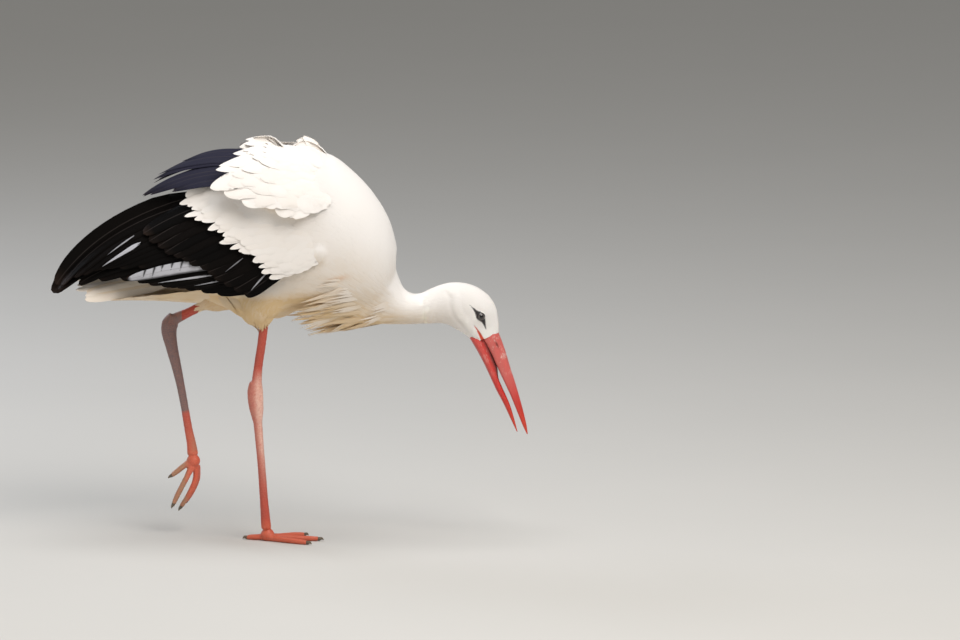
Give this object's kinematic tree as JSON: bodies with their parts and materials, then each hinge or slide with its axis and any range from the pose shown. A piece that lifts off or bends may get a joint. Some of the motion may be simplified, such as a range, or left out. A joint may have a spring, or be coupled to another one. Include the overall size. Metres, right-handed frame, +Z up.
{
  "type": "white stork",
  "caption": "Life-size white stork in mid step, a foot lifted behind, neck reaching forward and low, bill pointing down and slightly open.",
  "frame": {"origin": "on the floor under the pad of the standing right foot, in the bird's midplane", "axes": "+X forward, to the bill; +Y to the bird's left; +Z up"},
  "size_m": [0.7766, 0.2318, 0.6588],
  "materials": {
    "white_feather": "matte",
    "black_feather": "satin",
    "leg_skin": "satin",
    "bill_horn": "satin",
    "claw_horn": "satin",
    "eye": "gloss"
  },
  "bodies": {
    "root": {"bib_plumes": "white_feather", "bill_lower": "bill_horn", "bill_upper": "bill_horn", "claw_hind_left": "claw_horn", "claw_hind_right": "claw_horn", "claw_inner_left": "claw_horn", "claw_inner_right": "claw_horn", "claw_middle_left": "claw_horn", "claw_middle_right": "claw_horn", "claw_outer_left": "claw_horn", "claw_outer_right": "claw_horn", "eye_left": "eye", "eye_right": "eye", "foot_left": "leg_skin", "foot_right": "leg_skin", "head": "white_feather", "long_scapulars_left": "black_feather", "long_scapulars_right": "black_feather", "metatarsus_left": "leg_skin", "metatarsus_right": "leg_skin", "neck_base": "white_feather", "neck_middle": "white_feather", "neck_upper": "white_feather", "scapulars_left": "white_feather", "scapulars_right": "white_feather", "shank_left": "leg_skin", "shank_right": "leg_skin", "tail": "white_feather", "thigh_left": "white_feather", "thigh_right": "white_feather", "toe_hind_left": "leg_skin", "toe_hind_right": "leg_skin", "toe_inner_left": "leg_skin", "toe_inner_right": "leg_skin", "toe_middle_left": "leg_skin", "toe_middle_right": "leg_skin", "toe_outer_left": "leg_skin", "toe_outer_right": "leg_skin", "trunk": "white_feather", "wing_coverts_left": "white_feather", "wing_coverts_right": "white_feather", "wing_greater_coverts_left": "black_feather", "wing_greater_coverts_right": "black_feather", "wing_primaries_left": "black_feather", "wing_primaries_right": "black_feather", "wing_secondaries_left": "black_feather", "wing_secondaries_right": "black_feather"}
  },
  "joints": []
}
